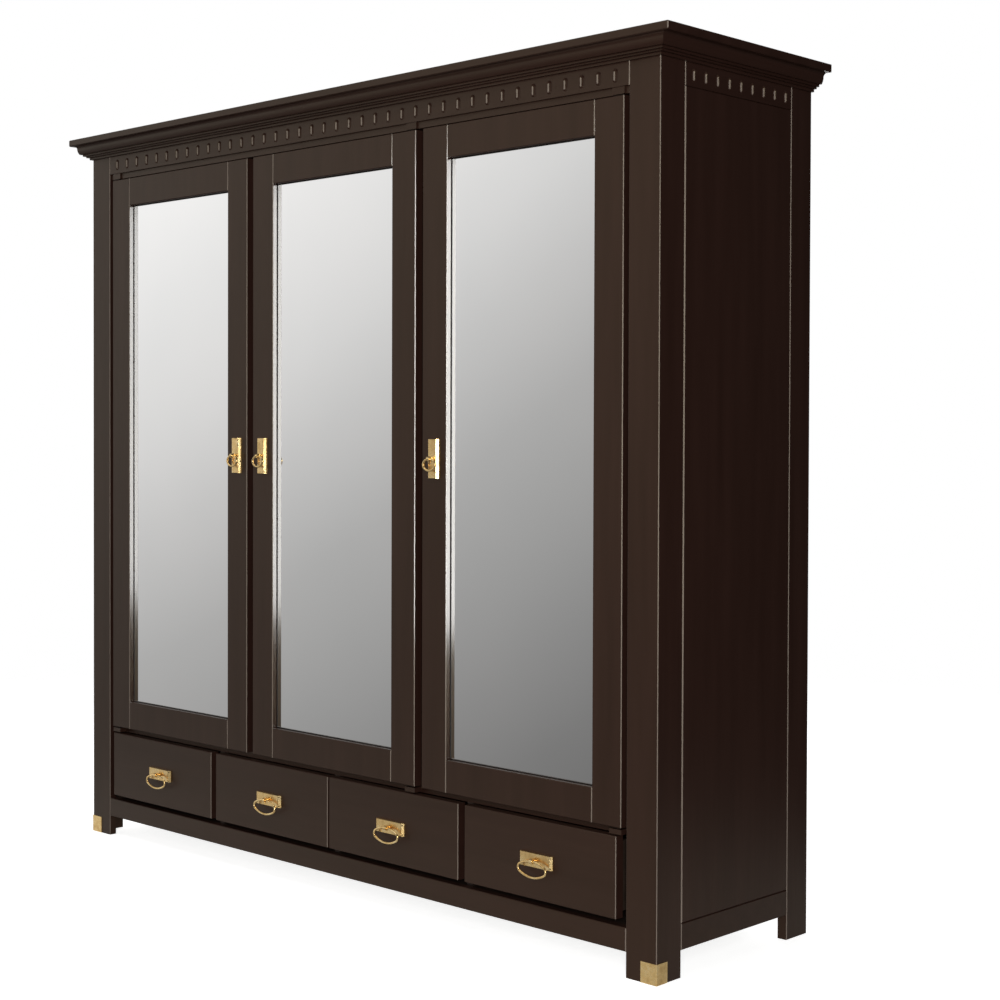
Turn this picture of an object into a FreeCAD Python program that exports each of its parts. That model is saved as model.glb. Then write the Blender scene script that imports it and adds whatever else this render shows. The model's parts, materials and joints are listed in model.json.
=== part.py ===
"""Three-door mirrored armoire with four drawers, as a parametric FreeCAD document.

Millimetres, +X to the armoire's right as seen from the front, +Y to the back, +Z up.
The origin lies on the floor at the middle of the whole armoire's plan outline.
"""

import FreeCAD, Part
import math
import os

from FreeCAD import Rotation, Vector

PARTS_FOLDER = "parts"

# ---------------------------------------------------------------- driving dimensions
DIMENSIONS = {
    # whole carcass
    "body_width": 2090,
    "body_depth": 554,
    "body_height": 2000,
    "front_overhang": 46,
    "side_overhang": 55,
    # corner posts, stiles and side frames
    "post_face": 84,
    "post_side": 84,
    "post_board": 20,
    "side_board": 25,
    "panel_board": 18,
    "rear_stile": 80,
    "joint_groove": 2.5,
    "arris": 1.5,
    # cornice and fluted frieze
    "cap_board": 18,
    "cap_ease": 2,
    "moulding_bottom": 1943,
    "fillet_out": 7,
    "fillet_low": 6,
    "fillet_middle": 4,
    "fillet_high": 5,
    "ovolo_foot": 27.5,
    "ovolo_top": 32.5,
    "ovolo_rise": 16,
    "ovolo_swell": 1.2,
    "cove_out": 39.5,
    "frieze_bottom": 1893,
    "flute_count": 40,
    "flute_pitch": 47.3,
    "side_flute_count": 9,
    "side_flute_pitch": 42.2,
    "flute_radius": 8,
    "flute_proud": 3,
    "flute_low": 1909.5,
    "flute_high": 1924.5,
    # rails under the drawers
    "front_rail_bottom": 55,
    "front_rail_top": 106,
    "side_rail_bottom": 58,
    "side_rail_top": 115,
    "rear_rail_bottom": 45,
    "rear_rail_thick": 20,
    # boards behind the doors and drawers
    "board_setback": 26,
    "top_lip_setback": 6,
    "partition_setback": 34,
    "top_board_bottom": 1877,
    "top_board_thick": 16,
    "middle_board_bottom": 299,
    "middle_board_thick": 15,
    "bottom_board_thick": 15,
    "partition_thick": 20,
    "strip_wide": 36,
    "strip_show": 10,
    "strip_deep": 24,
    "back_setback": 536,
    "back_thick": 8,
    "shelf_setback": 50,
    "shelf_thick": 18,
    "shelf_first": 690,
    "shelf_pitch": 385,
    "shelf_count": 3,
    "rail_radius": 12.5,
    "rail_height": 1790,
    "socket_radius": 24,
    "socket_thick": 5,
    # doors
    "door_bottom": 316,
    "door_top": 1874,
    "door_width": 614,
    "door_gap": 25,
    "door_thick": 24,
    "door_stile": 82,
    "door_rail": 77,
    "mirror_recess": 15,
    "mirror_thick": 4,
    "mirror_rebate": 8,
    "pivot_inset": 17,
    "pivot_radius": 4,
    "pivot_clearance": 0.05,
    "pivot_leaf": 1.5,
    "leaf_margin": 2,
    "leaf_setback": 3,
    "pivot_reach": 12,
    "pivot_block": 34,
    "pivot_block_setback": 2,
    "pivot_block_low": 301,
    "pivot_block_high": 11,
    "pivot_gap": 3,
    # drawers
    "drawer_bottom": 120,
    "drawer_top": 298,
    "drawer_width": 456,
    "drawer_gap": 21,
    "drawer_pair_gap": 6,
    "drawer_proud": 4,
    "drawer_front": 24,
    "drawer_box_width": 438,
    "drawer_box_depth": 470,
    "drawer_box_low": 131,
    "drawer_box_high": 282,
    "drawer_board": 12,
    "drawer_base": 6,
    "drawer_base_raise": 5,
    "divider_thick": 18,
    "runner_wide": 24,
    "runner_setback": 80,
    "runner_play": 0.5,
    # pulls and shoes
    "door_plate_wide": 35,
    "door_plate_high": 92,
    "drawer_plate_wide": 98,
    "drawer_plate_high": 31,
    "plate_thick": 8,
    "plate_bevel": 5.5,
    "plate_ease": 0.8,
    "plate_hole": 1.2,
    "plate_hole_side": 3.4,
    "plate_hole_end": 4,
    "door_ring_half_width": 19.5,
    "door_ring_half_height": 14,
    "door_ring_end": 10.5,
    "drawer_ring_half_width": 41.5,
    "drawer_ring_half_height": 18,
    "drawer_ring_end": 10,
    "wire_radius": 2.6,
    "eye_radius": 5.6,
    "eye_hole": 3.4,
    "eye_length": 9,
    "eye_stand": 9,
    "shank_radius": 3.4,
    "pull_height": 1097,
    "shoe_front": 42,
    "shoe_side": 35,
    "shoe_high": 45,
    "shoe_thick": 1.5,
    "shoe_ease": 1,
    # how far a cutting shape runs past the faces it cuts
    "overrun": 2,
}

doc = FreeCAD.newDocument("armoire")
sheet = doc.addObject("Spreadsheet::Sheet", "dims")
for row, (alias, number) in enumerate(DIMENSIONS.items(), start=1):
    sheet.set(f"A{row}", alias)
    sheet.set(f"B{row}", str(number))
    sheet.setAlias(f"B{row}", alias)
doc.recompute()

subparts = []


def val(alias):
    """A driving dimension, read back from the sheet."""
    return float(sheet.get(alias))


def bind(text):
    """An expression with each driving dimension's name turned into its sheet cell."""
    words = text.replace("(", " ( ").replace(")", " ) ").split()
    return " ".join(f"dims.{word}" if word in DIMENSIONS else word for word in words)


# ---------------------------------------------------------------- datum expressions
FRONT = "( front_overhang - body_depth ) / 2"
BACK = "( front_overhang + body_depth ) / 2"
HALF = "body_width / 2"
CAP_LOW = "( body_height - cap_board )"
FRIEZE_MIDDLE = f"( frieze_bottom + {CAP_LOW} ) / 2"
POST_INNER = "( body_width / 2 - post_face )"
SIDE_INNER = "( body_width / 2 - side_board )"
MIDDLE_TOP = "( middle_board_bottom + middle_board_thick )"
BOTTOM_LOW = "( front_rail_top - bottom_board_thick )"
DOOR_STEP = "( door_width + door_gap )"
DRAWER_FACE = f"{FRONT} - drawer_proud"
PIN_Y = f"{FRONT} + door_thick / 2"

# side of the armoire: steps from the middle, side of the pivots, side of the pull
DOORS = {"left": (-1, -1, 1), "middle": (0, 1, -1), "right": (1, 1, -1)}

front_y = (val("front_overhang") - val("body_depth")) / 2
back_y = (val("front_overhang") + val("body_depth")) / 2
half_x = val("body_width") / 2
cap_low = val("body_height") - val("cap_board")
frieze_middle = (val("frieze_bottom") + cap_low) / 2


def pin_x(door):
    """The line across the front on which a door's two pivot pins stand."""
    step, hinge_hand, _ = DOORS[door]
    return f"( {step} * {DOOR_STEP} + {hinge_hand} * ( door_width / 2 - pivot_inset ) )"


# ---------------------------------------------------------------- building helpers
def place(piece, x="0", y="0", z="0"):
    """Binds an object's position to expressions of the driving dimensions."""
    for axis, text in zip("xyz", (x, y, z)):
        piece.setExpression(f"Placement.Base.{axis}", bind(text))


def keep(piece, label):
    """Names a finished sub-part; the label is its node and its file."""
    piece.Label = label
    subparts.append(piece)
    return piece


def box(name, size, corner):
    """A board: its size and its low corner are expressions."""
    piece = doc.addObject("Part::Box", name)
    for side, text in zip(("Length", "Width", "Height"), size):
        piece.setExpression(side, bind(text))
    place(piece, *corner)
    return piece


def rod(name, radius, length, base, along="z"):
    """A round bar from the base point, along +x, +y or +z."""
    piece = doc.addObject("Part::Cylinder", name)
    piece.setExpression("Radius", bind(radius))
    piece.setExpression("Height", bind(length))
    turns = {
        "x": Rotation(Vector(0, 1, 0), 90),
        "y": Rotation(Vector(1, 0, 0), -90),
        "z": Rotation(),
    }
    piece.Placement = FreeCAD.Placement(Vector(), turns[along])
    place(piece, *base)
    return piece


def cut(name, base, tool):
    piece = doc.addObject("Part::Cut", name)
    piece.Base = base
    piece.Tool = tool
    return piece


def fuse(name, pieces):
    piece = doc.addObject("Part::MultiFuse", name)
    piece.Shapes = pieces
    return piece


def group(name, pieces):
    """Several separate solids in one node."""
    piece = doc.addObject("Part::Compound", name)
    piece.Links = pieces
    return piece


def on_plane(axis, level):
    """Picks the straight edges that lie in the plane where axis equals level."""

    def pick(edge):
        return all(abs(getattr(v.Point, axis) - level) < 0.01 for v in edge.Vertexes)

    return pick


def upright(edge):
    """Picks the edges that run straight up."""
    low, high = edge.Vertexes[0].Point, edge.Vertexes[-1].Point
    return abs(high.z - low.z) > math.hypot(high.x - low.x, high.y - low.y)


def ease(name, base, picks, size):
    """Chamfers the edges of base that any of the picks chooses."""
    doc.recompute()
    numbers = [
        number
        for number, edge in enumerate(base.Shape.Edges, start=1)
        if any(pick(edge) for pick in picks)
    ]
    piece = doc.addObject("Part::Chamfer", name)
    piece.Base = base
    piece.Edges = [(number, size, size) for number in numbers]
    return piece


def origin_item(body, role):
    """One of the body's own origin planes or axes."""
    return next(item for item in body.Origin.OriginFeatures if item.Role == role)


def outline(body, name, role, points, rounds=()):
    """A closed outline sketched on one of the body's own origin planes.

    Rounds maps the number of a side to a point that this side passes as an arc.
    """
    sketch = body.newObject("Sketcher::SketchObject", name)
    sketch.AttachmentSupport = [(origin_item(body, role), "")]
    sketch.MapMode = "FlatFace"
    corners = [Vector(x, y, 0) for x, y in points]
    for number, (start, end) in enumerate(zip(corners, corners[1:] + corners[:1])):
        if number in rounds:
            side = Part.Arc(start, Vector(*rounds[number], 0), end)
        else:
            side = Part.LineSegment(start, end)
        sketch.addGeometry(side, False)
    return sketch


def prism(name, role, points, length, rounds=()):
    """A body whose outline is padded evenly to both sides of an origin plane."""
    body = doc.addObject("PartDesign::Body", name)
    pad = body.newObject("PartDesign::Pad", f"{name}_pad")
    pad.Profile = outline(body, f"{name}_outline", role, points, rounds)
    pad.Midplane = True
    pad.setExpression("Length", bind(length))
    body.Tip = pad
    return body


def trim(body, name, points):
    """Cuts an upright-walled shape right through a body, seen from above."""
    pocket = body.newObject("PartDesign::Pocket", name)
    pocket.Profile = outline(body, f"{name}_outline", "XY_Plane", points)
    pocket.Type = "ThroughAll"
    pocket.Midplane = True
    body.Tip = pocket


# ---------------------------------------------------------------- carcass
def make_posts():
    """L-shaped front posts: a face board and a side return, from floor to cap."""
    face, side = val("post_face"), val("post_side")
    board, thick = val("post_board"), val("side_board")
    groove, arris = val("joint_groove"), val("arris")
    for label, hand in (("front_post_left", -1), ("front_post_right", 1)):
        section = [
            (half_x - face + arris, 0),
            (half_x - arris, 0),
            (half_x, arris),
            (half_x, side - groove),
            (half_x - groove, side),
            (half_x - thick, side),
            (half_x - thick, board),
            (half_x - face, board),
            (half_x - face, arris),
        ]
        points = [(hand * x, y) for x, y in section]
        post = prism(label, "XY_Plane", points, CAP_LOW)
        place(post, y=FRONT, z=f"{CAP_LOW} / 2")
        keep(post, label)


def make_side_frames():
    """Rear stiles, flat panels, fluted top boards and bottom rails of both sides."""
    groove, arris = val("joint_groove"), val("arris")
    panel_front = front_y + val("post_side")
    panel_back = back_y - val("rear_stile")
    stiles, rails = [], []
    for side, hand in (("left", -1), ("right", 1)):
        outer = hand * half_x
        low_x = {1: SIDE_INNER, -1: f"0 - {HALF}"}[hand]
        panel_x = {1: "body_width / 2 - panel_board", -1: f"0 - {HALF}"}[hand]
        span = "body_depth - post_side - rear_stile"
        start = f"{FRONT} + post_side"

        stile = box(
            f"rear_stile_{side}",
            ("side_board", "rear_stile", CAP_LOW),
            (low_x, f"{BACK} - rear_stile", "0"),
        )
        stiles.append(ease(f"rear_stile_{side}_eased", stile, [on_plane("x", outer)], arris))

        panel = box(
            f"panel_board_{side}",
            ("panel_board", span, "frieze_bottom - side_rail_top"),
            (panel_x, start, "side_rail_top"),
        )
        eased = ease(f"side_panel_{side}", panel, [on_plane("x", outer)], groove)
        keep(eased, f"side_panel_{side}")

        rail = box(
            f"side_rail_{side}",
            ("side_board", span, "side_rail_top - side_rail_bottom"),
            (low_x, start, "side_rail_bottom"),
        )
        rails.append(ease(f"side_rail_{side}_eased", rail, [on_plane("x", outer)], arris))

        make_side_frieze(side, hand, panel_front, panel_back)
    keep(group("rear_stiles", stiles), "rear_stiles")

    rear = box(
        "rear_rail_board",
        (
            "body_width - 2 * side_board",
            "rear_rail_thick",
            f"{BOTTOM_LOW} - rear_rail_bottom",
        ),
        (
            f"0 - {SIDE_INNER}",
            f"{FRONT} + back_setback - rear_rail_thick",
            "rear_rail_bottom",
        ),
    )
    keep(group("side_and_rear_rails", rails + [rear]), "side_and_rear_rails")


def gouge(body, name, face_plane, inward):
    """The half outline of one round-ended flute, revolved about an upright axis."""
    radius = val("flute_radius")
    low, high = (val(end) - frieze_middle for end in ("flute_low", "flute_high"))
    sketch = body.newObject("Sketcher::SketchObject", f"{name}_outline")
    sketch.AttachmentSupport = [(origin_item(body, face_plane), "")]
    sketch.MapMode = "FlatFace"
    sketch.AttachmentOffset = FreeCAD.Placement(
        Vector(-inward * val("flute_proud"), 0, 0), Rotation()
    )
    reach = inward * radius
    slant = radius * math.sqrt(0.5)
    low_arc = Part.Arc(
        Vector(0, low - radius, 0), Vector(inward * slant, low - slant, 0), Vector(reach, low, 0)
    )
    high_arc = Part.Arc(
        Vector(reach, high, 0), Vector(inward * slant, high + slant, 0), Vector(0, high + radius, 0)
    )
    sketch.addGeometry(low_arc, False)
    sketch.addGeometry(Part.LineSegment(Vector(reach, low, 0), Vector(reach, high, 0)), False)
    sketch.addGeometry(high_arc, False)
    sketch.addGeometry(
        Part.LineSegment(Vector(0, high + radius, 0), Vector(0, low - radius, 0)), False
    )
    groove = body.newObject("PartDesign::Groove", name)
    groove.Profile = sketch
    groove.ReferenceAxis = (sketch, ["V_Axis"])
    groove.Angle = 360
    body.Tip = groove
    return groove


def repeat(body, feature, axis_role, count, pitch):
    """Repeats a cut along one of the body's own axes."""
    pattern = body.newObject("PartDesign::LinearPattern", f"{feature.Name}_row")
    pattern.Originals = [feature]
    pattern.Direction = (origin_item(body, axis_role), [""])
    pattern.setExpression("Length", bind(f"( {count} - 1 ) * {pitch}"))
    pattern.setExpression("Occurrences", bind(count))
    body.Tip = pattern


def make_side_frieze(side, hand, panel_front, panel_back):
    """The fluted board above a side panel; its first flute is at the body's origin."""
    thick, arris = val("side_board"), val("arris")
    first = (panel_front + panel_back) / 2 - (val("side_flute_count") - 1) * val(
        "side_flute_pitch"
    ) / 2
    ends = (panel_front - first, panel_back - first)
    section = [
        (-hand * thick, ends[0]),
        (-hand * arris, ends[0]),
        (0, ends[0] + arris),
        (0, ends[1] - arris),
        (-hand * arris, ends[1]),
        (-hand * thick, ends[1]),
    ]
    name = f"side_frieze_{side}"
    body = prism(name, "XY_Plane", section, f"{CAP_LOW} - frieze_bottom")
    flute = gouge(body, f"{name}_flute", "XZ_Plane", -hand)
    repeat(body, flute, "Y_Axis", "side_flute_count", "side_flute_pitch")
    place(body, f"{hand} * {HALF}", str(first), FRIEZE_MIDDLE)
    keep(body, name)


def make_front_frieze():
    """The long fluted board over the doors, flush with the posts."""
    board, arris = val("post_board"), val("arris")
    first = -(val("flute_count") - 1) * val("flute_pitch") / 2
    low_x = -(half_x - val("post_face")) - first
    high_x = (half_x - val("post_face")) - first
    section = [
        (low_x, board),
        (low_x, arris),
        (low_x + arris, 0),
        (high_x - arris, 0),
        (high_x, arris),
        (high_x, board),
    ]
    body = prism("front_frieze", "XY_Plane", section, f"{CAP_LOW} - frieze_bottom")
    flute = gouge(body, "front_frieze_flute", "YZ_Plane", 1)
    repeat(body, flute, "X_Axis", "flute_count", "flute_pitch")
    place(body, str(first), FRONT, FRIEZE_MIDDLE)
    keep(body, "front_frieze")


def cornice_section():
    """The moulding under the cap: corners as (distance out from the post, height).

    Three fillets step out below an ovolo, which turns into a small cove under the cap.
    The second result gives the points that the ovolo and the cove pass as arcs.
    """
    out, foot = val("fillet_out"), val("ovolo_foot")
    ovolo, cove = val("ovolo_top"), val("cove_out")
    first = val("moulding_bottom")
    second = first + val("fillet_low")
    third = second + val("fillet_middle")
    fourth = third + val("fillet_high")
    turn = fourth + val("ovolo_rise")
    corners = [
        (0, first),
        (out, first),
        (out, second),
        (2 * out, second),
        (2 * out, third),
        (3 * out, third),
        (3 * out, fourth),
        (foot, fourth),
        (ovolo, turn),
        (cove, cap_low),
        (0, cap_low),
    ]
    swell = val("ovolo_swell")
    rounds = {
        7: ((foot + ovolo) / 2 + swell, (fourth + turn) / 2 - swell / 2),
        8: ((ovolo + cove) / 2 - swell, (turn + cap_low) / 2 + swell),
    }
    return corners, rounds


def make_cornice():
    """The moulding on three sides, mitred at the two front corners, and its cap."""
    corners, rounds = cornice_section()
    spare = val("cove_out") + val("overrun")
    over = val("overrun")
    front = prism(
        "cornice_front",
        "YZ_Plane",
        [(front_y - out, height) for out, height in corners],
        "body_width + 2 * cove_out",
        {number: (front_y - out, height) for number, (out, height) in rounds.items()},
    )
    for label, hand in (("left", -1), ("right", 1)):
        trim(
            front,
            f"cornice_front_mitre_{label}",
            [
                (hand * half_x, front_y),
                (hand * (half_x + spare), front_y - spare),
                (hand * (half_x + spare), front_y + over),
                (hand * half_x, front_y + over),
            ],
        )
    keep(front, "cornice_front")
    for label, hand in (("cornice_left", -1), ("cornice_right", 1)):
        side = prism(
            label,
            "XZ_Plane",
            [(hand * (half_x + out), height) for out, height in corners],
            "body_depth + 2 * cove_out",
            {
                number: (hand * (half_x + out), height)
                for number, (out, height) in rounds.items()
            },
        )
        place(side, y=f"{BACK} - ( body_depth + 2 * cove_out ) / 2")
        lead = val("cove_out") - val("body_depth") / 2
        trim(
            side,
            f"{label}_mitre",
            [
                (hand * half_x, lead),
                (hand * (half_x + spare), lead - spare),
                (hand * (half_x + spare), lead - 2 * spare),
                (hand * (half_x - over), lead - 2 * spare),
                (hand * (half_x - over), lead),
            ],
        )
        keep(side, label)
    cap = box(
        "cap_blank",
        ("body_width + 2 * side_overhang", "body_depth + front_overhang", "cap_board"),
        (f"0 - {HALF} - side_overhang", f"{FRONT} - front_overhang", CAP_LOW),
    )
    reach = half_x + val("side_overhang")
    rims = [
        on_plane("y", front_y - val("front_overhang")),
        on_plane("x", reach),
        on_plane("x", -reach),
    ]
    keep(ease("cap_board_eased", cap, rims, val("cap_ease")), "top_cap")


def make_rails_and_boards():
    """The front rail and the boards that divide the inside."""
    inner = "body_width - 2 * post_face"
    rail = box(
        "front_rail_blank",
        (inner, "post_board", "front_rail_top - front_rail_bottom"),
        (f"0 - {POST_INNER}", FRONT, "front_rail_bottom"),
    )
    eased = ease("front_rail_eased", rail, [on_plane("y", front_y)], val("arris"))
    keep(eased, "front_bottom_rail")

    wide = "body_width - 2 * side_board"
    deep = "back_setback - board_setback"
    start = f"{FRONT} + board_setback"
    left = f"0 - {SIDE_INNER}"
    levels = {
        "top_board": ("top_board_bottom", "top_board_thick", deep, start),
        "middle_board": ("middle_board_bottom", "middle_board_thick", deep, start),
        "bottom_board": (
            BOTTOM_LOW,
            "bottom_board_thick",
            "back_setback - post_board",
            f"{FRONT} + post_board",
        ),
    }
    boards = {
        label: box(f"{label}_blank", (wide, depth, thick), (left, y, low))
        for label, (low, thick, depth, y) in levels.items()
    }
    lip = box(
        "top_board_lip",
        (inner, "board_setback - top_lip_setback", "top_board_thick"),
        (f"0 - {POST_INNER}", f"{FRONT} + top_lip_setback", "top_board_bottom"),
    )
    notches = [
        box(
            f"top_board_notch_{door}",
            ("pivot_block", "board_setback", "top_board_thick"),
            (f"{pin_x(door)} - pivot_block / 2", FRONT, "top_board_bottom"),
        )
        for door in DOORS
    ]
    notched_lip = cut("top_board_notched_lip", lip, fuse("top_board_notches", notches))
    boards["top_board"] = fuse("top_board_lipped", [boards["top_board"], notched_lip])
    for label, board in boards.items():
        keep(board, label)

    back = box(
        "back_blank",
        (wide, "back_thick", f"{CAP_LOW} - rear_rail_bottom"),
        (left, f"{FRONT} + back_setback", "rear_rail_bottom"),
    )
    keep(back, "back_panel")


def make_interior():
    """Partitions, drawer dividers and runners, shelves and hanging rails."""
    partition_x = f"{DOOR_STEP} / 2"
    bays = {"left": f"0 - {partition_x}", "right": partition_x}
    partitions = [
        box(
            f"partition_{side}",
            (
                "partition_thick",
                "back_setback - partition_setback",
                f"top_board_bottom - {MIDDLE_TOP}",
            ),
            (f"{centre} - partition_thick / 2", f"{FRONT} + partition_setback", MIDDLE_TOP),
        )
        for side, centre in bays.items()
    ]
    keep(group("partitions", partitions), "partitions")

    inner_divider = "( drawer_width + drawer_pair_gap / 2 + drawer_gap / 2 )"
    outer_divider = f"( {POST_INNER} - divider_thick / 2 )"
    divider_lines = [
        f"0 - {outer_divider}",
        f"0 - {inner_divider}",
        "0",
        inner_divider,
        outer_divider,
    ]
    dividers = [
        box(
            f"divider_{number}",
            (
                "divider_thick",
                "back_setback - board_setback",
                "middle_board_bottom - front_rail_top",
            ),
            (
                f"{centre} - divider_thick / 2",
                f"{FRONT} + board_setback",
                "front_rail_top",
            ),
        )
        for number, centre in enumerate(divider_lines)
    ]
    runner_lines = [f"{centre} + divider_thick / 2" for centre in divider_lines[:-1]]
    runner_lines += [f"{centre} - divider_thick / 2 - runner_wide" for centre in divider_lines[1:]]
    runners = [
        box(
            f"runner_{number}",
            (
                "runner_wide",
                "back_setback - runner_setback",
                "drawer_box_low - front_rail_top - runner_play",
            ),
            (low_x, f"{FRONT} + runner_setback", "front_rail_top"),
        )
        for number, low_x in enumerate(runner_lines)
    ]
    keep(group("drawer_dividers", dividers), "drawer_dividers")
    keep(group("drawer_runners", runners), "drawer_runners")

    shelf_left = f"{partition_x} + partition_thick / 2"
    shelves = [
        box(
            f"shelf_{number}",
            (
                f"{SIDE_INNER} - {partition_x} - partition_thick / 2",
                "back_setback - shelf_setback",
                "shelf_thick",
            ),
            (shelf_left, f"{FRONT} + shelf_setback", f"shelf_first + {number} * shelf_pitch"),
        )
        for number in range(int(val("shelf_count")))
    ]
    keep(group("shelves", shelves), "shelves")

    rail_y = f"{FRONT} + back_setback / 2"
    ends = {
        "left": (f"0 - {SIDE_INNER}", f"0 - {partition_x} - partition_thick / 2"),
        "middle": (
            f"0 - {partition_x} + partition_thick / 2",
            f"{partition_x} - partition_thick / 2",
        ),
    }
    rails, sockets = [], []
    for bay, (low, high) in ends.items():
        rails.append(
            rod(
                f"rail_{bay}",
                "rail_radius",
                f"{high} - ( {low} ) - 2 * socket_thick",
                (f"{low} + socket_thick", rail_y, "rail_height"),
                along="x",
            )
        )
        for number, x in enumerate((low, f"{high} - socket_thick")):
            sockets.append(
                rod(
                    f"socket_{bay}_{number}",
                    "socket_radius",
                    "socket_thick",
                    (x, rail_y, "rail_height"),
                    along="x",
                )
            )
    keep(group("rails_and_sockets", rails + sockets), "hanging_rails")

    strips = [
        box(
            f"stop_strip_{side}",
            ("strip_wide", "strip_deep", f"top_board_bottom - {MIDDLE_TOP}"),
            (x, f"{FRONT} + post_board", MIDDLE_TOP),
        )
        for side, x in (
            ("left", f"0 - {POST_INNER} + strip_show - strip_wide"),
            ("right", f"{POST_INNER} - strip_show"),
        )
    ]
    keep(group("stop_strips", strips), "door_stop_strips")


def make_shoes():
    """Brass corner shoes wrapped round the two front feet."""
    front, side = val("shoe_front"), val("shoe_side")
    thick, soft, arris = val("shoe_thick"), val("shoe_ease"), val("arris")
    outer = half_x + thick
    section = [
        (half_x - front, -thick),
        (outer - soft, -thick),
        (outer, soft - thick),
        (outer, side),
        (half_x, side),
        (half_x, arris),
        (half_x - arris, 0),
        (half_x - front, 0),
    ]
    shoes = []
    for name, hand in (("shoe_left", -1), ("shoe_right", 1)):
        shoe = prism(name, "XY_Plane", [(hand * x, y) for x, y in section], "shoe_high")
        place(shoe, y=FRONT, z="shoe_high / 2")
        shoes.append(shoe)
    keep(group("brass_shoes", shoes), "brass_shoes")


# ---------------------------------------------------------------- pulls
def make_ring(label, half_width, half_height, end_radius, centre):
    """An oval wire ring in an upright plane; its top crosses the eye's axis."""
    a, b, end = val(half_width), val(half_height), val(end_radius)
    long_radius = ((a - end) ** 2 + b**2 - end**2) / (2 * (b - end))
    end_centre = a - end
    angle = math.atan2(long_radius - b, end_centre)
    touch = Vector(end_centre + end * math.cos(angle), end * math.sin(angle), 0)

    body = doc.addObject("PartDesign::Body", label)
    path = body.newObject("Sketcher::SketchObject", f"{label}_path")
    path.AttachmentSupport = [(origin_item(body, "XZ_Plane"), "")]
    path.MapMode = "FlatFace"
    corners = [
        Vector(touch.x, touch.y - b, 0),
        Vector(-touch.x, touch.y - b, 0),
        Vector(-touch.x, -touch.y - b, 0),
        Vector(touch.x, -touch.y - b, 0),
    ]
    tips = [Vector(0, 0, 0), Vector(-a, -b, 0), Vector(0, -2 * b, 0), Vector(a, -b, 0)]
    for start, middle, finish in zip(corners, tips, corners[1:] + corners[:1]):
        path.addGeometry(Part.Arc(start, middle, finish), False)

    section = body.newObject("Sketcher::SketchObject", f"{label}_wire")
    section.AttachmentSupport = [(origin_item(body, "YZ_Plane"), "")]
    section.MapMode = "FlatFace"
    section.addGeometry(
        Part.Circle(Vector(0, 0, 0), Vector(0, 0, 1), val("wire_radius")), False
    )
    pipe = body.newObject("PartDesign::AdditivePipe", f"{label}_pipe")
    pipe.Profile = section
    pipe.Spine = (path, [])
    body.Tip = pipe
    place(body, *centre)
    keep(body, label)


def make_pull(label, size, centre, face):
    """A plate with bevelled ends and an eye whose barrel lies along X in front of it."""
    wide, high = size
    x, z = centre
    front = f"{face} - plate_thick"
    plate = box(
        f"{label}_plate",
        (wide, "plate_thick", high),
        (f"{x} - {wide} / 2", front, f"{z} - {high} / 2"),
    )
    doc.recompute()
    on_front = on_plane("y", plate.Shape.BoundBox.YMin)
    ends = [lambda edge: on_front(edge) and upright(edge)]
    bevelled = ease(f"{label}_bevelled", plate, ends, val("plate_bevel"))
    eased = ease(f"{label}_eased", bevelled, [on_front], val("plate_ease"))

    eye_y = f"{front} - eye_stand"
    shank = rod(f"{label}_shank", "shank_radius", "eye_stand", (x, eye_y, z), along="y")
    barrel = rod(
        f"{label}_barrel",
        "eye_radius",
        "eye_length",
        (f"{x} - eye_length / 2", eye_y, z),
        along="x",
    )
    solid = fuse(f"{label}_solid", [eased, shank, barrel])
    bores = [
        rod(
            f"{label}_eye_bore",
            "eye_hole",
            "eye_length + 2 * overrun",
            (f"{x} - eye_length / 2 - overrun", eye_y, z),
            along="x",
        )
    ]
    for number, (hand, end) in enumerate(((-1, -1), (1, -1), (-1, 1), (1, 1))):
        pin = (
            f"{x} + {hand} * ( {wide} / 2 - plate_hole_side )",
            front,
            f"{z} + {end} * ( {high} / 2 - plate_hole_end )",
        )
        bores.append(
            rod(f"{label}_pin_bore_{number}", "plate_hole", "plate_thick + overrun", pin, along="y")
        )
    keep(cut(f"{label}_bored", solid, fuse(f"{label}_bores", bores)), label)


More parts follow.
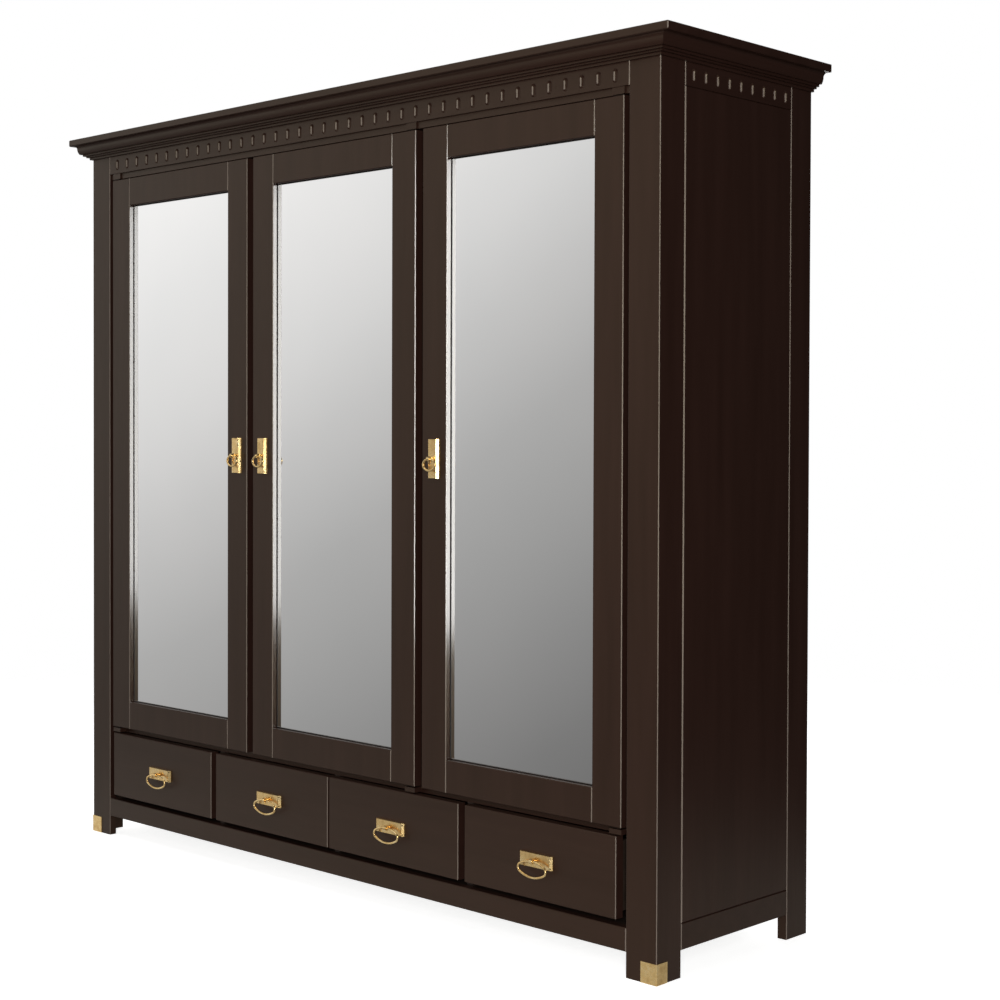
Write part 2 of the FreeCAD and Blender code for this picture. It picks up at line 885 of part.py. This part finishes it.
# ---------------------------------------------------------------- doors
def make_door(side):
    """One mirrored door: frame, mirror, back, pull, ring and pivot pins."""
    step, _, pull_hand = DOORS[side]
    name = f"door_{side}"
    centre = f"{step} * {DOOR_STEP}"
    left = f"{centre} - door_width / 2"
    high = "door_top - door_bottom"
    rebate_y = f"{FRONT} + mirror_recess"
    rebate_deep = "door_thick - mirror_recess"
    hole_low = "( door_bottom + door_rail )"
    hole_high = "( door_top - door_rail )"
    sight_left = f"{centre} - door_width / 2 + door_stile"
    sight_wide = "( door_width - 2 * door_stile )"
    arris = val("arris")

    rebate = box(
        f"{name}_rebate",
        (
            f"{sight_wide} + 2 * mirror_rebate",
            f"{rebate_deep} + overrun",
            f"{hole_high} - {hole_low} + 2 * mirror_rebate",
        ),
        (f"{sight_left} - mirror_rebate", rebate_y, f"{hole_low} - mirror_rebate"),
    )
    blanks = {
        "stile_left": (("door_stile", "door_thick", high), (left, FRONT, "door_bottom")),
        "stile_right": (
            ("door_stile", "door_thick", high),
            (f"{sight_left} + {sight_wide}", FRONT, "door_bottom"),
        ),
        "rail_bottom": (
            (sight_wide, "door_thick", "door_rail"),
            (sight_left, FRONT, "door_bottom"),
        ),
        "rail_top": ((sight_wide, "door_thick", "door_rail"), (sight_left, FRONT, hole_high)),
    }
    frame = []
    for part, (size, corner) in blanks.items():
        blank = box(f"{name}_{part}_blank", size, corner)
        eased = ease(f"{name}_{part}_eased", blank, [on_plane("y", front_y)], arris)
        frame.append(cut(f"{name}_{part}", eased, rebate))
    keep(group(f"{name}_frame", frame), f"{name}_frame")

    pane = (
        f"{sight_wide} + 2 * mirror_rebate",
        "mirror_thick",
        f"{hole_high} - {hole_low} + 2 * mirror_rebate",
    )
    pane_corner = (f"{sight_left} - mirror_rebate", rebate_y, f"{hole_low} - mirror_rebate")
    keep(box(f"{name}_glass", pane, pane_corner), f"{name}_mirror")
    board = (pane[0], f"{rebate_deep} - mirror_thick", pane[2])
    board_corner = (pane_corner[0], f"{rebate_y} + mirror_thick", pane_corner[2])
    keep(box(f"{name}_back", board, board_corner), f"{name}_back_board")

    axis_x = pin_x(side)
    leaf = (
        "2 * ( pivot_inset - leaf_margin )",
        "door_thick - 2 * leaf_setback",
        "pivot_leaf",
    )
    leaf_corner = (f"{axis_x} - pivot_inset + leaf_margin", f"{FRONT} + leaf_setback")
    lower = fuse(
        f"{name}_pivot_low",
        [
            box(f"{name}_leaf_low", leaf, (*leaf_corner, "door_bottom - pivot_leaf")),
            rod(
                f"{name}_pin_low",
                "pivot_radius",
                "pivot_reach",
                (axis_x, PIN_Y, "door_bottom - pivot_reach"),
            ),
        ],
    )
    upper = fuse(
        f"{name}_pivot_high",
        [
            box(f"{name}_leaf_high", leaf, (*leaf_corner, "door_top")),
            rod(f"{name}_pin_high", "pivot_radius", "pivot_reach", (axis_x, PIN_Y, "door_top")),
        ],
    )
    keep(group(f"{name}_pins", [lower, upper]), f"{name}_pivot_pins")

    pull_x = f"( {centre} + {pull_hand} * ( door_width - door_stile ) / 2 )"
    plate = ("door_plate_wide", "door_plate_high")
    make_pull(f"{name}_pull_plate", plate, (pull_x, "pull_height"), FRONT)
    make_ring(
        f"{name}_ring",
        "door_ring_half_width",
        "door_ring_half_height",
        "door_ring_end",
        (pull_x, f"{FRONT} - plate_thick - eye_stand", "pull_height"),
    )


def make_pivot_blocks():
    """The bored blocks on the carcass that the doors' pins turn in."""
    levels = {
        "low": ("pivot_block_low", "pivot_block_high"),
        "high": ("( door_top + pivot_gap )", "( frieze_bottom - door_top - pivot_gap )"),
    }
    blocks = []
    for door in DOORS:
        for level, (low, high) in levels.items():
            name = f"pivot_block_{door}_{level}"
            block = box(
                f"{name}_blank",
                ("pivot_block", "board_setback - pivot_block_setback", high),
                (f"{pin_x(door)} - pivot_block / 2", f"{FRONT} + pivot_block_setback", low),
            )
            bore = rod(
                f"{name}_bore",
                "pivot_radius + pivot_clearance",
                f"{high} + 2 * overrun",
                (pin_x(door), PIN_Y, f"{low} - overrun"),
            )
            blocks.append(cut(name, block, bore))
    keep(group("pivot_blocks_all", blocks), "pivot_blocks")


# ---------------------------------------------------------------- drawers
def make_drawer(number, centre):
    """One drawer: overlay front, box, pull plate and ring."""
    name = f"drawer_{number}"
    high = "drawer_top - drawer_bottom"
    front = box(
        f"{name}_front_blank",
        ("drawer_width", "drawer_front", high),
        (f"{centre} - drawer_width / 2", DRAWER_FACE, "drawer_bottom"),
    )
    face_y = front_y - val("drawer_proud")
    eased = ease(f"{name}_front_eased", front, [on_plane("y", face_y)], val("arris"))
    keep(eased, f"{name}_front")

    box_y = f"{FRONT} - drawer_proud + drawer_front"
    box_left = f"{centre} - drawer_box_width / 2"
    wall_high = "drawer_box_high - drawer_box_low"
    sides = [
        box(
            f"{name}_side_{hand}",
            ("drawer_board", "drawer_box_depth", wall_high),
            (x, box_y, "drawer_box_low"),
        )
        for hand, x in (
            ("left", box_left),
            ("right", f"{centre} + drawer_box_width / 2 - drawer_board"),
        )
    ]
    inner_left = f"{box_left} + drawer_board"
    inner_wide = "drawer_box_width - 2 * drawer_board"
    back = box(
        f"{name}_back",
        (inner_wide, "drawer_board", wall_high),
        (inner_left, f"{box_y} + drawer_box_depth - drawer_board", "drawer_box_low"),
    )
    base = box(
        f"{name}_base",
        (inner_wide, "drawer_box_depth - drawer_board", "drawer_base"),
        (inner_left, box_y, "drawer_box_low + drawer_base_raise"),
    )
    keep(group(f"{name}_box_boards", sides + [back, base]), f"{name}_box")

    plate = ("drawer_plate_wide", "drawer_plate_high")
    z = "( drawer_bottom + drawer_top ) / 2"
    make_pull(f"{name}_pull_plate", plate, (f"( {centre} )", z), DRAWER_FACE)
    make_ring(
        f"{name}_ring",
        "drawer_ring_half_width",
        "drawer_ring_half_height",
        "drawer_ring_end",
        (centre, f"{DRAWER_FACE} - plate_thick - eye_stand", z),
    )


# ---------------------------------------------------------------- assembly
make_posts()
make_side_frames()
make_front_frieze()
make_cornice()
make_rails_and_boards()
make_interior()
make_shoes()

for door in DOORS:
    make_door(door)
make_pivot_blocks()

NEAR = "( drawer_width / 2 + drawer_pair_gap / 2 )"
FAR = "( 3 * drawer_width / 2 + drawer_pair_gap / 2 + drawer_gap )"
for number, centre in enumerate((f"0 - {FAR}", f"0 - {NEAR}", NEAR, FAR), start=1):
    make_drawer(number, centre)

doc.recompute()


# ---------------------------------------------------------------- tests and files
def check_document():
    """Stops the run if any object failed or any sub-part is not sound."""
    for item in doc.Objects:
        if {"Invalid", "Error"} & set(item.State):
            raise SystemExit(f"{item.Label} failed: {item.State}")
    for piece in subparts:
        shape = piece.Shape
        if shape.isNull() or not shape.isValid() or not shape.Solids:
            raise SystemExit(f"{piece.Label} has no valid solid")
        if min(solid.Volume for solid in shape.Solids) <= 0:
            raise SystemExit(f"{piece.Label} has an empty solid")


check_document()
os.makedirs(PARTS_FOLDER, exist_ok=True)
for piece in subparts:
    piece.Shape.exportStep(os.path.join(PARTS_FOLDER, f"{piece.Label}.step"))
print(f"{len(subparts)} nodes, {sum(len(piece.Shape.Solids) for piece in subparts)} solids")
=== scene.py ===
"""Looks of the mirrored armoire: lacquer, mirrors, brass and studio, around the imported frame."""

import json
import math

import bmesh
import bpy
from mathutils import Matrix, Vector


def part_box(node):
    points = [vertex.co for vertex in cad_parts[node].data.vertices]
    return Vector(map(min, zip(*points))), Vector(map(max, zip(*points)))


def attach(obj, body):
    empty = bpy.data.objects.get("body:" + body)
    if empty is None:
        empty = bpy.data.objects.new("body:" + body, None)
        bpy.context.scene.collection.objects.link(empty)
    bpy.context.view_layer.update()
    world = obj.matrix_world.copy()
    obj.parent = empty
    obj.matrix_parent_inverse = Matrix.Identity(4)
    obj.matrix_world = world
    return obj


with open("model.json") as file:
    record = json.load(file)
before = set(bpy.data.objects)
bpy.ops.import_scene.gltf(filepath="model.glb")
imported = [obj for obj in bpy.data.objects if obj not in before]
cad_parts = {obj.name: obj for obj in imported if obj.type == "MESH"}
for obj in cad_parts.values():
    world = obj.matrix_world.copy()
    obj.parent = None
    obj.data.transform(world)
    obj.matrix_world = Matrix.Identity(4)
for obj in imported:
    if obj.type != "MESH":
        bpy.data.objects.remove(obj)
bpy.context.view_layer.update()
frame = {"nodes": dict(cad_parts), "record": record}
NODES = frame["nodes"]
SLOT_OF = {part["node"]: part["material_slot"] for part in frame["record"]["subparts"]}


# ---------------------------------------------------------------- node helpers
# a Mix node set to colours takes them on these sockets
COLOUR_MIX_A = 6
COLOUR_MIX_B = 7
COLOUR_MIX_RESULT = 2


class Graph:
    """A material's node tree, with short calls to add and join nodes."""

    def __init__(self, name):
        self.material = bpy.data.materials.new(name)
        self.material.use_nodes = True
        self.tree = self.material.node_tree
        self.tree.nodes.clear()
        self.out = self.add("ShaderNodeOutputMaterial")
        self.shader = self.add("ShaderNodeBsdfPrincipled")
        self.join(self.shader, "BSDF", self.out, "Surface")
        self.place = self.add("ShaderNodeTexCoord")

    def add(self, kind, **settings):
        node = self.tree.nodes.new(kind)
        for name, value in settings.items():
            setattr(node, name, value)
        return node

    def join(self, source, output, target, socket):
        self.tree.links.new(source.outputs[output], target.inputs[socket])

    def stretched(self, scale):
        """Object coordinates, multiplied along each axis."""
        mapping = self.add("ShaderNodeMapping")
        mapping.inputs["Scale"].default_value = scale
        self.join(self.place, "Object", mapping, "Vector")
        return mapping

    def noise(self, scale, stretch=(1, 1, 1), detail=4.0, roughness=0.5):
        texture = self.add("ShaderNodeTexNoise")
        texture.inputs["Scale"].default_value = scale
        texture.inputs["Detail"].default_value = detail
        texture.inputs["Roughness"].default_value = roughness
        self.join(self.stretched(stretch), "Vector", texture, "Vector")
        return texture

    def ramp(self, source, output, stops):
        """Maps a value through colour stops: (position, colour)."""
        node = self.add("ShaderNodeValToRGB")
        elements = node.color_ramp.elements
        while len(elements) < len(stops):
            elements.new(0.5)
        for element, (position, colour) in zip(elements, stops):
            element.position = position
            element.color = colour if len(colour) == 4 else (*colour, 1.0)
        self.join(source, output, node, "Fac")
        return node

    def remap(self, source, output, low, high, to_low, to_high):
        node = self.add("ShaderNodeMapRange")
        node.inputs["From Min"].default_value = low
        node.inputs["From Max"].default_value = high
        node.inputs["To Min"].default_value = to_low
        node.inputs["To Max"].default_value = to_high
        self.join(source, output, node, "Value")
        return node

    def math(self, operation, *terms):
        """A math node fed by the given (node, output) pairs."""
        node = self.add("ShaderNodeMath", operation=operation)
        for socket, (source, output) in enumerate(terms):
            self.join(source, output, node, socket)
        return node

    def bump(self, source, output, strength, distance, before=None):
        node = self.add("ShaderNodeBump")
        node.inputs["Strength"].default_value = strength
        node.inputs["Distance"].default_value = distance
        self.join(source, output, node, "Height")
        if before is not None:
            self.join(before, "Normal", node, "Normal")
        return node

    def set(self, **values):
        for name, value in values.items():
            self.shader.inputs[name.replace("_", " ")].default_value = value


ALONG_GRAIN = 0.06


def grain_stretch(direction):
    """Noise is drawn out along the grain, which runs along X, Y or Z."""
    return tuple(ALONG_GRAIN if axis == direction else 1.0 for axis in "xyz")


# ---------------------------------------------------------------- materials
LACQUER_TONES = (
    (0.30, (0.0310, 0.0125, 0.0090)),
    (0.55, (0.0380, 0.0160, 0.0118)),
    (0.78, (0.0450, 0.0195, 0.0145)),
)
BRASS_TONES = ((0.28, (0.66, 0.42, 0.16)), (0.50, (0.88, 0.62, 0.27)), (0.75, (0.96, 0.76, 0.42)))
SILVER_TONES = ((0.3, (0.875, 0.885, 0.885)), (0.7, (0.900, 0.905, 0.903)))
# painted highlight: the light colour laid on arrises that face the key light
ARRIS_HIGHLIGHT = (0.50, 0.42, 0.36, 1.0)
WARM_SHINE = (1.0, 0.87, 0.54, 1.0)
# the product of a normal's X and Y sizes: near 0.5 on a 45 degree arris, 0 on a flat face
ARRIS_FROM, ARRIS_FULL = 0.42, 0.49
MOST_HIGHLIGHT = 0.5
# the size of a normal's X: 1 on a face square to X
REVEAL_FROM, REVEAL_FULL = 0.60, 0.70
REVEAL_COAT = 0.78


def lacquer(name, direction, polished_reveals=False):
    """Dark brown satin lacquer over wood, with faint grain and pores.

    A painted highlight lightens the lacquer on the upright arrises and grooves, and along the
    flutes.
    Polished reveals are the faces square to X inside the door frames: they carry a glossier coat.
    """
    g = Graph(name)
    stretch = grain_stretch(direction)
    figure = g.noise(28.0, stretch, detail=6.0, roughness=0.55)
    tone = g.ramp(figure, "Fac", LACQUER_TONES)
    facing = g.add("ShaderNodeSeparateXYZ")
    g.join(g.place, "Normal", facing, "Vector")
    across = g.math("ABSOLUTE", (facing, "X"))
    ahead = g.math("ABSOLUTE", (facing, "Y"))
    slanted = g.math("MULTIPLY", (across, "Value"), (ahead, "Value"))
    # painted highlight: faces turned 45 degrees between X and Y, where the key light glints, are
    # lightened, patchy with the grain figure
    highlit_band = g.remap(slanted, "Value", ARRIS_FROM, ARRIS_FULL, 0.0, MOST_HIGHLIGHT)
    patchy = g.remap(figure, "Fac", 0.3, 0.7, 0.85, 1.0)
    highlight_mask = g.math("MULTIPLY", (highlit_band, "Result"), (patchy, "Result"))
    highlit_lacquer = g.add("ShaderNodeMix", data_type="RGBA")
    highlit_lacquer.inputs[COLOUR_MIX_B].default_value = ARRIS_HIGHLIGHT
    g.join(highlight_mask, "Value", highlit_lacquer, "Factor")
    g.join(tone, "Color", highlit_lacquer, COLOUR_MIX_A)
    g.join(highlit_lacquer, COLOUR_MIX_RESULT, g.shader, "Base Color")

    pores = g.noise(260.0, stretch, detail=3.0, roughness=0.6)
    sheen = g.remap(pores, "Fac", 0.3, 0.7, 0.36, 0.44)
    g.join(sheen, "Result", g.shader, "Roughness")
    if polished_reveals:
        polish = g.remap(across, "Value", REVEAL_FROM, REVEAL_FULL, 0.0, REVEAL_COAT)
        g.join(polish, "Result", g.shader, "Coat Weight")
        g.set(Coat_Roughness=0.12)
    orange_peel = g.noise(90.0, detail=2.0)
    ripple = g.bump(orange_peel, "Fac", 0.05, 0.0006)
    relief = g.bump(pores, "Fac", 0.10, 0.00012, before=ripple)
    g.join(relief, "Normal", g.shader, "Normal")
    g.set(IOR=1.5, Specular_IOR_Level=0.36, Specular_Tint=WARM_SHINE)
    return g.material


def stained_wood(name, direction, dark, light, roughness):
    """Plain inner wood: stained or bare, with a straight grain."""
    g = Graph(name)
    stretch = grain_stretch(direction)
    figure = g.noise(18.0, stretch, detail=8.0, roughness=0.6)
    tone = g.ramp(figure, "Fac", [(0.32, dark), (0.68, light)])
    g.join(tone, "Color", g.shader, "Base Color")
    pores = g.noise(220.0, stretch, detail=3.0, roughness=0.6)
    gloss = g.remap(pores, "Fac", 0.3, 0.7, roughness - 0.06, roughness + 0.08)
    g.join(gloss, "Result", g.shader, "Roughness")
    relief = g.bump(pores, "Fac", 0.25, 0.0003)
    g.join(relief, "Normal", g.shader, "Normal")
    g.set(Specular_IOR_Level=0.35)
    return g.material


def silvered_glass(name):
    """Front-lit mirror: a clean reflector with the faintest waviness."""
    g = Graph(name)
    haze = g.noise(3.0, detail=2.0)
    tone = g.ramp(haze, "Fac", SILVER_TONES)
    g.join(tone, "Color", g.shader, "Base Color")
    gloss = g.remap(haze, "Fac", 0.3, 0.7, 0.0, 0.012)
    g.join(gloss, "Result", g.shader, "Roughness")
    g.set(Metallic=1.0)
    return g.material


def beaten_brass(name):
    """Antique brass: warm, finely beaten, darker in patches."""
    g = Graph(name)
    patina = g.noise(55.0, detail=5.0, roughness=0.6)
    tone = g.ramp(patina, "Fac", BRASS_TONES)
    g.join(tone, "Color", g.shader, "Base Color")
    beating = g.noise(420.0, detail=2.0)
    gloss = g.remap(patina, "Fac", 0.25, 0.75, 0.34, 0.22)
    g.join(gloss, "Result", g.shader, "Roughness")
    relief = g.bump(beating, "Fac", 0.45, 0.00035)
    g.join(relief, "Normal", g.shader, "Normal")
    g.set(Metallic=1.0)
    return g.material


def satin_metal(name, dark, light, roughness):
    """Drawn steel or blackened metal with fine lengthwise lines."""
    g = Graph(name)
    lines = g.noise(400.0, (0.03, 1.0, 1.0), detail=3.0)
    tone = g.ramp(lines, "Fac", [(0.3, dark), (0.7, light)])
    g.join(tone, "Color", g.shader, "Base Color")
    gloss = g.remap(lines, "Fac", 0.3, 0.7, roughness - 0.05, roughness + 0.08)
    g.join(gloss, "Result", g.shader, "Roughness")
    relief = g.bump(lines, "Fac", 0.1, 0.0001)
    g.join(relief, "Normal", g.shader, "Normal")
    g.set(Metallic=1.0)
    return g.material


LACQUER = {axis: lacquer(f"dark_lacquer_{axis}", axis) for axis in "xyz"}
DOOR_LACQUER = lacquer("door_lacquer", "z", polished_reveals=True)
INNER_DARK = (0.022, 0.0140, 0.0100)
INNER_LIGHT = (0.046, 0.0300, 0.0215)
INNER = {
    axis: stained_wood(f"inner_wood_{axis}", axis, INNER_DARK, INNER_LIGHT, 0.48)
    for axis in "xyz"
}
RUNNER = stained_wood("runner_wood", "y", (0.30, 0.19, 0.10), (0.46, 0.32, 0.19), 0.55)
MIRROR = silvered_glass("mirror_glass")
BRASS = beaten_brass("antique_brass")
STEEL = satin_metal("rail_steel", (0.48, 0.48, 0.48), (0.66, 0.66, 0.67), 0.28)
BLACK_METAL = satin_metal("hinge_metal", (0.016, 0.011, 0.008), (0.036, 0.026, 0.020), 0.46)
# painted shade: a near-black strip for the shadow gap at each mirror's edge
SHADOW_GAP_DARK = stained_wood("shadow_gap_bead", "z", (0.006, 0.0045, 0.0038), (0.014, 0.010, 0.008), 0.45)

FINISH_OF_SLOT = {
    "runner_wood": RUNNER,
    "mirror_glass": MIRROR,
    "brass": BRASS,
    "rail_steel": STEEL,
    "hinge_metal": BLACK_METAL,
}
UPRIGHT = ("front_post", "rear_stiles", "side_panel", "partitions", "door_stop")


def grain_axis(node):
    """A board's grain runs along its longest side."""
    low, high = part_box(node)
    size = high - low
    return "xyz"[max(range(3), key=lambda i: size[i])]


def finish_for(node):
    """The door frames and partitions have finishes of their own; the rest go by slot."""
    slot = SLOT_OF[node]
    if node.endswith("_frame"):
        return DOOR_LACQUER
    if node == "partitions":
        return LACQUER["z"]
    if slot in ("dark_lacquer", "inner_wood"):
        axis = "z" if node.startswith(UPRIGHT) else grain_axis(node)
        return (LACQUER if slot == "dark_lacquer" else INNER)[axis]
    return FINISH_OF_SLOT[slot]


for node, piece in NODES.items():
    piece.data.materials.clear()
    piece.data.materials.append(finish_for(node))


# ---------------------------------------------------------------- dark beads: painted shadow gaps round the mirrors
PANE_HIDDEN = 0.008  # how far the pane runs on behind the door frame
BEAD_WIDE = 0.0022
BEAD_PROUD = 0.0012
BEAD_SOFT = 0.0005
BEAD_SECTION = (
    (0.0, 0.0),
    (BEAD_WIDE, 0.0),
    (BEAD_WIDE, BEAD_PROUD - BEAD_SOFT),
    (BEAD_WIDE - BEAD_SOFT, BEAD_PROUD),
    (0.0, BEAD_PROUD),
)


def make_bead(side):
    """A thin dark bead at the edge of a door's mirror, mitred round the opening: painted shade for
    the shadow gap where the mirror meets the frame.
    """
    low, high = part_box(f"door_{side}_mirror")
    left, right = low.x + PANE_HIDDEN, high.x - PANE_HIDDEN
    foot, head = low.z + PANE_HIDDEN, high.z - PANE_HIDDEN
    corners = ((left, foot, 1, 1), (right, foot, -1, 1), (right, head, -1, -1), (left, head, 1, -1))
    name = f"door_{side}_shadow_gap_bead"
    shape = bmesh.new()
    rings = [
        [
            shape.verts.new((x + inward_x * wide, low.y - proud, z + inward_z * wide))
            for wide, proud in BEAD_SECTION
        ]
        for x, z, inward_x, inward_z in corners
    ]
    for here, there in zip(rings, rings[1:] + rings[:1]):
        for number in range(len(BEAD_SECTION)):
            following = (number + 1) % len(BEAD_SECTION)
            shape.faces.new((here[number], here[following], there[following], there[number]))
    bmesh.ops.recalc_face_normals(shape, faces=shape.faces[:])
    mesh = bpy.data.meshes.new(name)
    shape.to_mesh(mesh)
    shape.free()
    mesh.materials.append(SHADOW_GAP_DARK)
    bead = bpy.data.objects.new(name, mesh)
    bpy.context.scene.collection.objects.link(bead)
    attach(bead, f"door_{side}")


for side in ("left", "middle", "right"):
    make_bead(side)


# ---------------------------------------------------------------- studio
OBJECT_HALF = (1.05, 0.25, 0.0)
FLOOR_RADIUS = 9.0
FLOOR_DROP = 0.0005
FLOOR_GLOW = 0.92
SEEN_FADE = (2.0, 4.2)  # distances from the middle between which the seen floor fades out
NEAR_FADE = (0.5, 1.3)  # distances from the object between which its reflected floor fades out
NEAR_CLEAR = 0.66  # how clear the reflected floor is beside the object


def make_floor():
    """A pale round floor that fades out to the backdrop at its rim.

    The object's gloss only picks up the part of the floor that lies close to it.
    """
    mesh = bpy.data.meshes.new("floor")
    shape = bmesh.new()
    bmesh.ops.create_circle(shape, cap_ends=True, radius=FLOOR_RADIUS, segments=96)
    shape.to_mesh(mesh)
    shape.free()
    floor = bpy.data.objects.new("floor", mesh)
    bpy.context.scene.collection.objects.link(floor)
    floor.location.z = -FLOOR_DROP
    floor.visible_diffuse = False
    g = Graph("pale_floor")
    mesh.materials.append(g.material)
    speckle = g.noise(40.0, detail=3.0)
    tone = g.ramp(speckle, "Fac", [(0.3, (0.90, 0.90, 0.895)), (0.7, (0.92, 0.92, 0.915))])
    g.join(tone, "Color", g.shader, "Base Color")
    g.join(tone, "Color", g.shader, "Emission Color")
    g.set(Roughness=0.75, Emission_Strength=FLOOR_GLOW)

    rim = g.add("ShaderNodeVectorMath", operation="LENGTH")
    g.join(g.place, "Object", rim, 0)
    seen_rim = g.remap(rim, "Value", *SEEN_FADE, 0.0, 1.0)

    folded = g.add("ShaderNodeVectorMath", operation="ABSOLUTE")
    g.join(g.place, "Object", folded, 0)
    beyond = g.add("ShaderNodeVectorMath", operation="SUBTRACT")
    g.join(folded, "Vector", beyond, 0)
    beyond.inputs[1].default_value = OBJECT_HALF
    outside = g.add("ShaderNodeVectorMath", operation="MAXIMUM")
    g.join(beyond, "Vector", outside, 0)
    outside.inputs[1].default_value = (0.0, 0.0, 0.0)
    away = g.add("ShaderNodeVectorMath", operation="LENGTH")
    g.join(outside, "Vector", away, 0)
    near_rim = g.remap(away, "Value", *NEAR_FADE, NEAR_CLEAR, 1.0)

    path = g.add("ShaderNodeLightPath")
    mask = g.add("ShaderNodeMix", data_type="FLOAT")
    g.join(path, "Is Camera Ray", mask, "Factor")
    g.join(near_rim, "Result", mask, "A")
    g.join(seen_rim, "Result", mask, "B")
    clear = g.add("ShaderNodeBsdfTransparent")
    mix = g.add("ShaderNodeMixShader")
    g.join(mask, "Result", mix, "Fac")
    g.join(g.shader, "BSDF", mix, 1)
    g.join(clear, "BSDF", mix, 2)
    g.join(mix, "Shader", g.out, "Surface")


# what the mirrors see, by height less distance to the right: (position, level)
BACKDROP_SPAN = 1.25
BACKDROP_LEVELS = (
    (0.0, 0.03),
    (0.20, 0.06),
    (0.39, 0.22),
    (0.44, 0.29),
    (0.55, 0.46),
    (0.61, 0.62),
    (0.65, 0.75),
    (0.75, 0.99),
    (1.0, 1.0),
)
BACKDROP_TINT = (1.0, 0.985, 0.975)
# the bright part ends a little above the object's head
HEAD_FADE = (0.24, 0.60)
ABOVE_HEAD = 0.25


def make_world():
    """A white backdrop; what the mirrors see fades from bright above to grey below."""
    world = bpy.data.worlds.new("studio")
    bpy.context.scene.world = world
    world.use_nodes = True
    tree = world.node_tree
    tree.nodes.clear()
    new, link = tree.nodes.new, tree.links.new
    out = new("ShaderNodeOutputWorld")
    mix = new("ShaderNodeMixShader")
    seen = new("ShaderNodeBackground")
    seen.inputs["Color"].default_value = (1, 1, 1, 1)
    mirrored = new("ShaderNodeBackground")
    path = new("ShaderNodeLightPath")
    place = new("ShaderNodeTexCoord")
    split = new("ShaderNodeSeparateXYZ")
    ramp = new("ShaderNodeValToRGB")
    scale = new("ShaderNodeMapRange")
    link(place.outputs["Generated"], split.inputs["Vector"])
    # the backdrop is brighter towards the left
    lean = new("ShaderNodeMath")
    lean.operation = "MULTIPLY_ADD"
    link(split.outputs["X"], lean.inputs[0])
    lean.inputs[1].default_value = -1.0
    link(split.outputs["Z"], lean.inputs[2])
    link(lean.outputs["Value"], scale.inputs["Value"])
    scale.inputs["From Min"].default_value = 0.0
    scale.inputs["From Max"].default_value = BACKDROP_SPAN
    link(scale.outputs["Result"], ramp.inputs["Fac"])
    elements = ramp.color_ramp.elements
    while len(elements) < len(BACKDROP_LEVELS):
        elements.new(0.5)
    for element, (position, level) in zip(elements, BACKDROP_LEVELS):
        element.position = position
        element.color = (*(level * share for share in BACKDROP_TINT), 1.0)
    top = new("ShaderNodeMapRange")
    link(split.outputs["Z"], top.inputs["Value"])
    top.inputs["From Min"].default_value = HEAD_FADE[0]
    top.inputs["From Max"].default_value = HEAD_FADE[1]
    top.inputs["To Min"].default_value = 1.0
    top.inputs["To Max"].default_value = ABOVE_HEAD
    link(ramp.outputs["Color"], mirrored.inputs["Color"])
    link(top.outputs["Result"], mirrored.inputs["Strength"])
    link(path.outputs["Is Camera Ray"], mix.inputs["Fac"])
    link(mirrored.outputs["Background"], mix.inputs[1])
    link(seen.outputs["Background"], mix.inputs[2])
    link(mix.outputs["Shader"], out.inputs["Surface"])


def soft_box(name, place, target, size, radiance):
    """A rectangular soft light that faces its target; radiance is per unit of white."""
    data = bpy.data.lights.new(name, "AREA")
    data.shape = "RECTANGLE"
    data.size, data.size_y = size
    data.energy = radiance * math.pi * size[0] * size[1]
    light = bpy.data.objects.new(name, data)
    bpy.context.scene.collection.objects.link(light)
    light.location = place
    aim = Vector(target) - Vector(place)
    light.rotation_euler = aim.to_track_quat("-Z", "Y").to_euler()


CAMERA_PLACE = Vector((3.3623, -3.1520, 1.1547))
CAMERA_TURN = math.radians(43.763)
CAMERA_TILT = math.radians(-0.977)
CAMERA_ROLL = math.radians(0.181)
LENS_MM = 63.87
SENSOR_MM = 36.0
SHIFT_Y = -0.0354


def make_camera():
    """Stands at the front right, near the middle of the height, almost level."""
    ahead = Vector(
        (
            -math.sin(CAMERA_TURN) * math.cos(CAMERA_TILT),
            math.cos(CAMERA_TURN) * math.cos(CAMERA_TILT),
            math.sin(CAMERA_TILT),
        )
    )
    level = Vector((math.cos(CAMERA_TURN), math.sin(CAMERA_TURN), 0.0))
    upright = level.cross(ahead)
    right = level * math.cos(CAMERA_ROLL) + upright * math.sin(CAMERA_ROLL)
    up = upright * math.cos(CAMERA_ROLL) - level * math.sin(CAMERA_ROLL)
    turn = Matrix((right, up, -ahead)).transposed()
    data = bpy.data.cameras.new("camera")
    data.lens = LENS_MM
    data.sensor_width = SENSOR_MM
    data.shift_y = SHIFT_Y
    camera = bpy.data.objects.new("camera", data)
    bpy.context.scene.collection.objects.link(camera)
    camera.matrix_world = Matrix.Translation(CAMERA_PLACE) @ turn.to_4x4()
    bpy.context.scene.camera = camera


make_floor()
make_world()
soft_box("key_by_camera", (3.75, -3.55, 1.35), (0.0, 0.0, 1.2), (0.8, 2.4), 20.0)
soft_box("overhead", (-0.4, -1.6, 4.2), (0.0, -0.2, 1.0), (3.0, 2.4), 1.2)
soft_box("rear_fill", (-2.6, 4.4, 2.0), (0.0, 0.3, 1.0), (2.4, 2.0), 5.0)
make_camera()
bpy.context.scene.view_settings.view_transform = "Standard"
